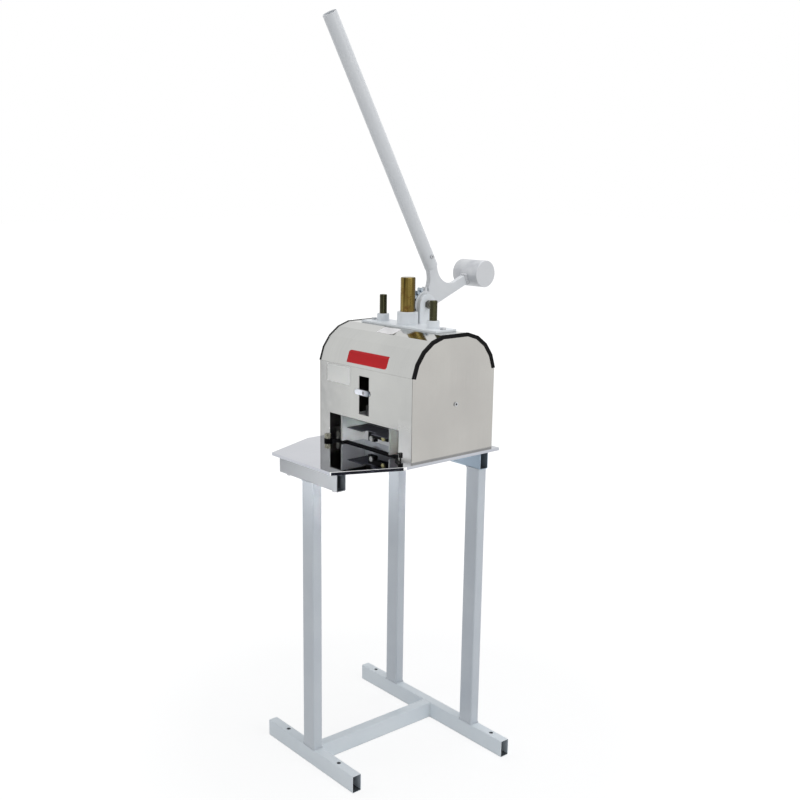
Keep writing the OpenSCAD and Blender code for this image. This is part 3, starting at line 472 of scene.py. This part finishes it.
POST_STEEL = bare_steel("post_steel", (0.05, 0.05, 0.045), (0.17, 0.17, 0.155), 0.58, 110)
RUBBER_TONES = ((0.003, 0.003, 0.0035), (0.007, 0.007, 0.0075))
RUBBER = dark_solid("trim_rubber", *RUBBER_TONES, 0.55, 900, 0.08)
LEFT_RUBBER = dark_solid("left_trim_rubber", *RUBBER_TONES, 0.55, 900, 0.08, [LIP_SHEEN])
BLACK_PAINT = dark_solid("black_paint", (0.0010, 0.0010, 0.0012), (0.0025, 0.0025, 0.003), 0.48, 500, 0.06)
BLACK_PLASTIC = dark_solid("black_plastic", (0.001, 0.001, 0.001), (0.0025, 0.0025, 0.0025),
                           0.45, 700, 0.08)
# Painted shade of the hollow inside the screw sockets
SOCKET_SHADE = dark_solid("socket_shade", (0.010, 0.010, 0.010), (0.03, 0.03, 0.03), 0.5, 400)


# Materials on the CAD nodes

FINISH = {
    LEG_PAINT: ["front_leg", "rear_left_leg", "rear_right_leg"],
    FOOT_PAINT_LIT: ["front_foot", "rear_foot", "foot_crossbar"],
    RAIL_PAINT_SHADED: ["front_rail"],
    REAR_RAIL_PAINT_SHADED: ["rear_rail"],
    TOP_PAINT: ["top_bridge", "left_collar", "centre_collar", "right_collar", "left_ear", "right_ear"],
    LEVER_PAINT: ["lever_arm"],
    HANDLE_PAINT: ["handle_tube"],
    TAB_PAINT: ["selector_tab"],
    WEIGHT_PAINT: ["counterweight"],
    FRONT_SHEET: ["front_panel", "rear_panel"],
    DOME_SHEET: ["dome_cover"],
    SIDE_SHEET: ["left_side_panel", "right_side_panel"],
    TABLE_SHEET: ["table_plate"],
    LEFT_WALL_LIT: ["left_guide_wall"],
    RIGHT_WALL_LIT: ["right_guide_wall"],
    PAN_SHEET: ["dough_pan"],
    DULL_STEEL: ["left_frame_plate", "right_frame_plate", "frame_top_plate", "crosshead",
                 "knife_frame", "knife_grid", "press_pads", "pad_plate", "selector_stem"],
    RAM_ZINC: ["ram"],
    ROD_ZINC: ["left_guide_rod", "right_guide_rod"],
    HINGE_ZINC: ["hinge_bolt", "hinge_nut"],
    CATCH_ZINC: ["catch_bolts"],
    STEEL: ["table_bolts", "side_screws", "frame_bolts", "bridge_screws", "ram_nut", "pad_bolts",
            "handle_screw"],
    DARK_STEEL: ["pivot_bolt", "pivot_nut"],
    POST_STEEL: ["gate_stop"],
    RUBBER: ["right_edge_trim"],
    LEFT_RUBBER: ["left_edge_trim"],
    BLACK_PAINT: ["gate_bar", "pan_catch"],
    BLACK_PLASTIC: ["gate_knob"],
}
for mat, names in FINISH.items():
    for name in names:
        nodes[name].data.materials.clear()
        nodes[name].data.materials.append(mat)


# Rounded edges on the CAD nodes, width in millimetres

EDGE_WIDTH = {
    1.2: ["lever_arm"],
    0.8: ["left_ear", "right_ear", "top_bridge", "gate_bar", "pan_catch", "counterweight"],
    2.2: ["table_plate"],
    0.5: ["pivot_bolt", "pivot_nut", "hinge_bolt", "hinge_nut", "bridge_screws",
          "catch_bolts", "selector_tab", "side_screws", "handle_screw"],
    0.3: ["front_panel", "rear_panel", "left_side_panel", "right_side_panel", "dough_pan",
          "left_edge_trim", "right_edge_trim", "left_guide_wall", "right_guide_wall"],
}


def soften(name, width):
    """A small rounded edge on a CAD node, by modifiers alone."""
    weld = nodes[name].modifiers.new("join", "WELD")
    weld.merge_threshold = 0.02 * MM
    edge = nodes[name].modifiers.new("edge", "BEVEL")
    edge.width = width * MM
    edge.segments = 2
    edge.limit_method = "ANGLE"
    edge.angle_limit = math.radians(35)
    edge.harden_normals = True


for width, names in EDGE_WIDTH.items():
    for name in names:
        soften(name, width)


# Mesh helpers

def new_piece(name, points, faces, mat, body, smooth=True):
    """A mesh object with one material, riding on a CAD body."""
    mesh = bpy.data.meshes.new(name)
    mesh.from_pydata([tuple(p) for p in points], [], faces)
    mesh.materials.append(mat)
    mesh.polygons.foreach_set("use_smooth", [smooth] * len(mesh.polygons))
    mesh.update()
    piece = bpy.data.objects.new(name, mesh)
    scene.collection.objects.link(piece)
    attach(piece, body)
    return piece


def band(here, there, count):
    """Quads between two closed rings of points, each given by the index of its first point."""
    steps = [(k, (k + 1) % count) for k in range(count)]
    return [(here + k, here + after, there + after, there + k) for k, after in steps]


def spaced(path, step, closed):
    """Points along a path at an even step."""
    ends = path[1:] + path[:1] if closed else path[1:]
    lengths = [(b - a).length for a, b in zip(path, ends)]
    count = max(8, round(sum(lengths) / step))
    points, span, walked = [], 0, 0.0
    for i in range(count if closed else count + 1):
        goal = sum(lengths) * i / count
        while span < len(lengths) - 1 and walked + lengths[span] < goal:
            walked += lengths[span]
            span += 1
        points.append(path[span].lerp(ends[span], min(1, (goal - walked) / max(lengths[span], 1e-9))))
    return points


def rounded_loop(half_u, half_v, corner, steps=5):
    """Points of a rounded rectangle about zero, as (u, v) pairs."""
    loop = []
    for quarter, (su, sv) in enumerate(((1, 1), (-1, 1), (-1, -1), (1, -1))):
        for i in range(steps + 1):
            turn = math.radians(90 * quarter + 90 * i / steps)
            loop.append((su * (half_u - corner) + corner * math.cos(turn),
                         sv * (half_v - corner) + corner * math.sin(turn)))
    return loop


# Welds

WELD_STEP, WELD_RIPPLE, WELD_SIDES = 0.9 * MM, 3.6 * MM, 8
# Shares of a bead's radius: its least, what a ripple and a swell add, how far it wanders, and its open ends
BEAD_LEAST, RIPPLE_SHARE, SWELL_SHARE, WANDER_SHARE, END_SHARE = 0.90, 0.12, 0.05, 0.10, 0.3
# Radians per metre along a bead, and at its start
SWELL_RATE, SWELL_START = 311, 2.1
WANDER_RATE, WANDER_START = 173, 0.7
TUBE_CORNER = 2.5 * MM
LEG_BEAD, CROSSBAR_BEAD, EAR_BEAD = 1.7 * MM, 2.2 * MM, 2.0 * MM
SIDE_COLLAR_BEAD, CENTRE_COLLAR_BEAD = 1.5 * MM, 1.8 * MM
LEG_OUT_X, LEG_OUT_Y = 0.3 * MM, 0.2 * MM
CROSSBAR_OUT_X, CROSSBAR_OUT_Z = 0.2 * MM, -3.2 * MM
EAR_INNER_GAP = 2 * MM
COLLAR_ARC = [math.radians(6 * i) for i in range(60)]
WEIGHT_ARC = [math.radians(183 + 3 * i) for i in range(15)]
WEIGHT_OUT = (0, -0.91, -0.41)
# Half width over the arm, distance from the weight and bead radius of each run, in millimetres
WEIGHT_RUNS = {"root": (8.4, 0.2, 3.2), "cover": (8.0, 4.4, 2.6)}


def weld_bead(name, path, radius, mat, body, out, closed=True):
    """A rippled weld bead along a path; out is a direction that the path never follows."""
    points = spaced([Vector(p) for p in path], WELD_STEP, closed)
    count = len(points)
    rings, faces = [], []
    for i, point in enumerate(points):
        before = points[i - 1] if closed or i else point
        after = points[(i + 1) % count] if closed or i < count - 1 else point
        along = (after - before).normalized()
        side = along.cross(Vector(out)).normalized()
        rise = side.cross(along)
        way = i * WELD_STEP
        ripple = RIPPLE_SHARE * abs(math.sin(math.pi * way / WELD_RIPPLE))
        swell = SWELL_SHARE * math.sin(SWELL_RATE * way + SWELL_START)
        thick = radius * (BEAD_LEAST + ripple + swell)
        if not closed and i in (0, count - 1):
            thick *= END_SHARE
        shift = radius * WANDER_SHARE * math.sin(WANDER_RATE * way + WANDER_START)
        for k in range(WELD_SIDES):
            turn = 2 * math.pi * k / WELD_SIDES
            rings.append(point + side * (thick * math.cos(turn) + shift) + rise * thick * math.sin(turn))
    for i in range(count if closed else count - 1):
        faces += band(i * WELD_SIDES, (i + 1) % count * WELD_SIDES, WELD_SIDES)
    new_piece(name, rings, faces, mat, body)


def weld_leg(node):
    """Beads where a leg stands on its foot and where it meets its rail."""
    low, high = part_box(node)
    mid, half = middle(node), half_size(node)
    loop = rounded_loop(half.x + LEG_OUT_X, half.y + LEG_OUT_Y, TUBE_CORNER)
    for end, z in (("foot", low.z), ("rail", high.z)):
        path = [(mid.x + u, mid.y + v, z) for u, v in loop]
        weld_bead(f"weld_{node}_{end}", path, LEG_BEAD, LEG_PAINT, "base", UP)


def weld_crossbar():
    """Beads round both ends of the crossbar, on the feet."""
    low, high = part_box("foot_crossbar")
    mid, half = middle("foot_crossbar"), half_size("foot_crossbar")
    loop = rounded_loop(half.x + CROSSBAR_OUT_X, half.z + CROSSBAR_OUT_Z, TUBE_CORNER)
    for end, y in (("front", low.y), ("rear", high.y)):
        path = [(mid.x + u, y, mid.z + v) for u, v in loop]
        weld_bead(f"weld_crossbar_{end}", path, CROSSBAR_BEAD, FOOT_PAINT_LIT, "base", BACK)


def weld_collar(node, radius):
    """A bead round a collar, on the bridge."""
    mid, half = middle(node), half_size(node)
    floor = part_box(node)[0].z
    path = [(mid.x + half.x * math.cos(t), mid.y + half.x * math.sin(t), floor) for t in COLLAR_ARC]
    weld_bead(f"weld_{node}", path, radius, TOP_PAINT, "base", UP)


def weld_ear(node, side):
    """A bead round the three open sides of an ear's base; side is 1 for the right ear, -1 for the left."""
    low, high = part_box(node)
    inner, outer = (low.x, high.x) if side > 0 else (high.x, low.x)
    inner += side * EAR_INNER_GAP
    corners = ((inner, low.y), (outer, low.y), (outer, high.y), (inner, high.y))
    path = [(x, y, low.z) for x, y in corners]
    weld_bead(f"weld_{node}", path, EAR_BEAD, TOP_PAINT, "base", UP, closed=False)


def weld_weight():
    """Two beads where the arm meets the counterweight: the root run, and a cover run on the arm's side."""
    mid, radius = middle("counterweight"), half_size("counterweight").z
    for run, (half, away, bead) in WEIGHT_RUNS.items():
        reach = radius + away * MM
        rim = [(mid.y + reach * math.cos(t), mid.z + reach * math.sin(t)) for t in WEIGHT_ARC]
        path = [(half * MM, y, z) for y, z in rim] + [(-half * MM, y, z) for y, z in reversed(rim)]
        weld_bead(f"weld_counterweight_{run}", path, bead * MM, WEIGHT_PAINT, "lever", WEIGHT_OUT)


for leg in ("front_leg", "rear_left_leg", "rear_right_leg"):
    weld_leg(leg)
weld_crossbar()
weld_collar("left_collar", SIDE_COLLAR_BEAD)
weld_collar("right_collar", SIDE_COLLAR_BEAD)
weld_collar("centre_collar", CENTRE_COLLAR_BEAD)
weld_ear("left_ear", -1)
weld_ear("right_ear", 1)
weld_weight()


# Springs over the pads

COIL_RADIUS, WIRE_RADIUS = 9.0 * MM, 1.25 * MM
COIL_TURNS, TURN_RINGS, WIRE_SIDES = 8, 24, 10
COIL_GAP = 0.1 * MM


def pad_coils():
    """The four springs between the pad plate and the crosshead, riding on the pads."""
    floor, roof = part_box("pad_plate")[1].z + COIL_GAP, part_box("crosshead")[0].z - COIL_GAP
    low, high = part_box("pad_springs")
    outer = COIL_RADIUS + WIRE_RADIUS
    rings = COIL_TURNS * TURN_RINGS
    rise = roof - floor - 2 * WIRE_RADIUS
    corners = [(x, y) for x in (low.x + outer, high.x - outer) for y in (low.y + outer, high.y - outer)]
    points, faces = [], []
    for x, y in corners:
        first = len(points)
        for i in range(rings + 1):
            turn = 2 * math.pi * i / TURN_RINGS
            z = floor + WIRE_RADIUS + rise * i / rings
            for k in range(WIRE_SIDES):
                round_wire = 2 * math.pi * k / WIRE_SIDES
                r = COIL_RADIUS + WIRE_RADIUS * math.cos(round_wire)
                points.append((x + r * math.cos(turn), y + r * math.sin(turn),
                               z + WIRE_RADIUS * math.sin(round_wire)))
        for i in range(rings):
            faces += band(first + (i + 1) * WIRE_SIDES, first + i * WIRE_SIDES, WIRE_SIDES)
        faces.append(tuple(range(first, first + WIRE_SIDES)))
        faces.append(tuple(reversed(range(len(points) - WIRE_SIDES, len(points)))))
    coils = new_piece("pad_coils", points, faces, STEEL, "pads")
    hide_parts("pad_springs")
    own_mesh(coils)


pad_coils()


# Sockets of the screws

HEX_SIDES = 6
SIDE_HEX, HANDLE_HEX = 6.5 * MM, 3.6 * MM
# Each ring's radius as a share of the width across corners, and its height over the head
SOCKET_RINGS = ((0.5, 0.06 * MM), (0.42, 0.03 * MM), (0.30, 0.02 * MM))


def socket(name, screw, side, across, body):
    """A dished hexagon on the face of a screw's head, coloured as the painted shade inside its socket; side
    is 1 on the right, -1 on the left.
    """
    centre = middle(screw)
    centre.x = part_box(screw)[1 if side > 0 else 0].x
    normal = ACROSS * side
    u = normal.orthogonal().normalized()
    v = normal.cross(u)
    points, faces = [], []
    for size, lift in SOCKET_RINGS:
        for k in range(HEX_SIDES):
            turn = 2 * math.pi * k / HEX_SIDES
            outward = u * math.cos(turn) + v * math.sin(turn)
            points.append(centre + outward * across * size + normal * lift)
    for ring in (0, HEX_SIDES):
        faces += band(ring, ring + HEX_SIDES, HEX_SIDES)
    faces.append(tuple(range(len(points) - HEX_SIDES, len(points))))
    new_piece(name, points, faces, SOCKET_SHADE, body, smooth=False)


socket("socket_right", "side_screws", 1, SIDE_HEX, "base")
socket("socket_left", "side_screws", -1, SIDE_HEX, "base")
socket("socket_handle", "handle_screw", 1, HANDLE_HEX, "lever")


# Plain plate and labels on the housing

DOME_RADIUS, DOME_BENDS = 123 * MM, 5
PLATE_UNDER, PLATE_SHOULDER, PLATE_FACE = 0.02 * MM, 0.25 * MM, 0.35 * MM
PLATE_CHAMFER = 0.15 * MM
PLATE_LOW, PLATE_HIGH = 9.5 * MM, 45.5 * MM
PLATE_LEFT, PLATE_RIGHT = -80 * MM, 88 * MM
PLATE_ROUND, PLATE_SHARP = 8 * MM, 1 * MM
PLATE_ROWS = 36
LABEL_CORNER = 2 * MM
TOP_LABEL_SIZE, TOP_LABEL_FACET = (66 * MM, 35 * MM), 3
TOP_LABEL_WAY, TOP_LABEL_X = 19.5 * MM, 2 * MM
FRONT_LABEL_SIZE = (102 * MM, 50 * MM)
FRONT_LABEL_PLACE = Vector((-111.5 * MM, -154.8 * MM, 1081 * MM))


def dome_corner(index):
    """A corner of the dome's front shoulder, whose flats touch a circle, counted up from the seam."""
    low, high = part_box("dome_cover")
    bend = math.pi / 2 / DOME_BENDS
    reach = DOME_RADIUS / math.cos(bend / 2)
    turn = bend * (index + 0.5)
    return Vector((0, low.y + DOME_RADIUS - reach * math.cos(turn),
                   high.z - DOME_RADIUS + reach * math.sin(turn)))


def dome_facet(index):
    """Lower edge, direction up and length of a front facet of the dome, counted from the front seam."""
    low, high = dome_corner(index), dome_corner(index + 1)
    return low, (high - low).normalized(), (high - low).length


def over_dome(way, x, lift):
    """A point over the two lowest front facets, at a way up from the front seam."""
    low, up, length = dome_facet(0)
    if way > length:
        low, up, _ = dome_facet(1)
        way -= length
    return low + up * way + ACROSS * x + ACROSS.cross(up) * lift


def corner_inset(way, radius):
    """How far a rounded corner cuts in, at a distance from the edge that it ends."""
    return radius - math.sqrt(radius ** 2 - max(0.0, radius - way) ** 2)


def red_plate():
    """A plain plate bent over the dome's first fold, with two opposite corners well rounded."""
    rows = [PLATE_LOW + (PLATE_HIGH - PLATE_LOW) * i / PLATE_ROWS for i in range(PLATE_ROWS + 1)]
    rows = sorted(rows + [dome_facet(0)[2]])
    points, faces = [], []
    for way in rows:
        low, high = way - PLATE_LOW, PLATE_HIGH - way
        left = PLATE_LEFT + max(corner_inset(low, PLATE_SHARP), corner_inset(high, PLATE_ROUND))
        right = PLATE_RIGHT - max(corner_inset(low, PLATE_ROUND), corner_inset(high, PLATE_SHARP))
        points += [over_dome(way, left, PLATE_UNDER), over_dome(way, left, PLATE_FACE),
                   over_dome(way, right, PLATE_FACE), over_dome(way, right, PLATE_UNDER)]
    for i in range(len(rows) - 1):
        here, there = 4 * i, 4 * (i + 1)
        faces += [(here + k, here + k + 1, there + k + 1, there + k) for k in range(3)]
    faces += [(3, 2, 1, 0), tuple(range(len(points) - 4, len(points)))]
    new_piece("plate_red", points, faces, RED_ENAMEL, "base", smooth=False)


def blank_label(name, centre, up, size, mat):
    """A plain thin label with rounded corners and a fine chamfer, stuck level on the housing."""
    normal = ACROSS.cross(up)
    points, faces = [], []
    for inset, lift in ((0, PLATE_UNDER), (0, PLATE_SHOULDER), (PLATE_CHAMFER, PLATE_FACE)):
        loop = rounded_loop(size[0] / 2 - inset, size[1] / 2 - inset, LABEL_CORNER)
        points += [centre + ACROSS * u + up * v + normal * lift for u, v in loop]
    count = len(points) // 3
    for ring in (0, count):
        faces += band(ring, ring + count, count)
    faces.append(tuple(range(2 * count, 3 * count)))
    new_piece(name, points, faces, mat, "base", smooth=False)


red_plate()
facet_low, facet_up, _ = dome_facet(TOP_LABEL_FACET)
top_label_place = facet_low + facet_up * TOP_LABEL_WAY + ACROSS * TOP_LABEL_X
blank_label("label_top", top_label_place, facet_up, TOP_LABEL_SIZE, LABEL_BRIGHT)
blank_label("label_front", FRONT_LABEL_PLACE, UP, FRONT_LABEL_SIZE, LABEL_WHITE)


# Camera at the photograph's angle: solved from the stand's and housing's edges, 800 x 800 pixels

PHOTO_SIZE = 800
FOCAL_PIXELS = 1058.8
CENTRE_PIXEL = (333.2, 421.6)
SENSOR_WIDTH = 36
CAMERA_PLACE = Vector((2.189, -1.9543, 1.601))
CAMERA_HEADING = math.radians(52.27)
CAMERA_DIP = math.radians(12.67)


def make_camera():
    """The scene's camera, turned left of straight back by its heading and down by its dip."""
    data = bpy.data.cameras.new("camera")
    data.sensor_width = SENSOR_WIDTH
    data.lens = FOCAL_PIXELS / PHOTO_SIZE * SENSOR_WIDTH
    data.shift_x = 0.5 - CENTRE_PIXEL[0] / PHOTO_SIZE
    data.shift_y = CENTRE_PIXEL[1] / PHOTO_SIZE - 0.5
    camera = bpy.data.objects.new("camera", data)
    scene.collection.objects.link(camera)
    camera.location = CAMERA_PLACE
    ahead = Vector((-math.sin(CAMERA_HEADING) * math.cos(CAMERA_DIP),
                    math.cos(CAMERA_HEADING) * math.cos(CAMERA_DIP), -math.sin(CAMERA_DIP)))
    camera.rotation_euler = ahead.to_track_quat("-Z", "Y").to_euler()
    scene.camera = camera


make_camera()


# Floor, world and lamps

AMBIENT = 0.40
FLOOR_HALF, FLOOR_DROP = 40.0, 0.2 * MM
FLOOR_GLOW = 1.15
FLOOR_REACH = 2.0
NEAR_WHITE, FAR_WHITE = 0.70, 0.92
HEAD_CENTRE, MOUTH = (0, 0, 1.0), (0.0, -0.12, 0.93)
# Name, place and aim in metres, width in metres, watts, spread in degrees
LAMPS = [
    ("key", (-1.2, -3.0, 3.2), HEAD_CENTRE, 2.2, 12, 180),
    ("side", (3.4, 0.2, 2.2), HEAD_CENTRE, 2.0, 26, 180),
    ("top", (0.2, 0.4, 4.2), HEAD_CENTRE, 2.4, 40, 180),
    ("mouth_fill", (2.0, -2.9, 1.35), MOUTH, 0.35, 0.32, 7),
]


def light_path_white(tree):
    """1 for rays that show the background: seen directly, in a mirror or through glass."""
    path = add(tree, "ShaderNodeLightPath")
    both = calc(tree, "MAXIMUM", path.outputs["Is Camera Ray"], path.outputs["Is Glossy Ray"])
    return calc(tree, "MAXIMUM", both, path.outputs["Is Transmission Ray"])


def make_world():
    """A soft, slightly blue surrounding light that looks plain white where it is seen."""
    world = bpy.data.worlds.new("studio")
    world.use_nodes = True
    scene.world = world
    tree = world.node_tree
    tree.nodes.clear()
    soft = add(tree, "ShaderNodeBackground", {"Color": (0.94, 0.97, 1.0, 1), "Strength": AMBIENT})
    white = add(tree, "ShaderNodeBackground", {"Color": (1, 1, 1, 1), "Strength": 1.0})
    shares = {0: light_path_white(tree), 1: soft.outputs[0], 2: white.outputs[0]}
    both = add(tree, "ShaderNodeMixShader", shares)
    add(tree, "ShaderNodeOutputWorld", {"Surface": both.outputs[0]})


def make_floor():
    """A pale floor that keeps the shadow, and looks whiter the farther it is from the stand."""
    mesh = bpy.data.meshes.new("floor")
    corners = [(-FLOOR_HALF, -FLOOR_HALF), (FLOOR_HALF, -FLOOR_HALF),
               (FLOOR_HALF, FLOOR_HALF), (-FLOOR_HALF, FLOOR_HALF)]
    mesh.from_pydata([(x, y, -FLOOR_DROP) for x, y in corners], [], [(0, 1, 2, 3)])
    floor = bpy.data.objects.new("floor", mesh)
    scene.collection.objects.link(floor)
    mat, tree, bsdf = new_material("floor_white")
    feed(tree, bsdf, {"Base Color": mottled(tree, 1.5, 0.88, 0.90, detail=2), "Roughness": 0.9})
    glow = add(tree, "ShaderNodeEmission", {"Color": (1, 1, 1, 1), "Strength": FLOOR_GLOW})
    coords = add(tree, "ShaderNodeTexCoord")
    away = add(tree, "ShaderNodeVectorMath", {0: coords.outputs["Object"]}, operation="LENGTH")
    reach = calc(tree, "DIVIDE", away.outputs["Value"], FLOOR_REACH)
    white = ramp(tree, reach, (0.3, NEAR_WHITE), (0.9, FAR_WHITE))
    share = calc(tree, "MULTIPLY", light_path_white(tree), white)
    both = add(tree, "ShaderNodeMixShader", {0: share, 1: bsdf.outputs[0], 2: glow.outputs[0]})
    tree.links.new(both.outputs[0], tree.nodes["Material Output"].inputs["Surface"])
    mesh.materials.append(mat)


def area_lamp(name, place, aim, width, watts, spread):
    """A square lamp that looks from its place towards its aim."""
    data = bpy.data.lights.new(name, "AREA")
    data.size = width
    data.energy = watts
    data.spread = math.radians(spread)
    lamp = bpy.data.objects.new(name, data)
    scene.collection.objects.link(lamp)
    lamp.location = place
    lamp.rotation_euler = (Vector(aim) - Vector(place)).to_track_quat("-Z", "Y").to_euler()


scene.view_settings.view_transform = "Standard"
make_world()
make_floor()
for lamp in LAMPS:
    area_lamp(*lamp)
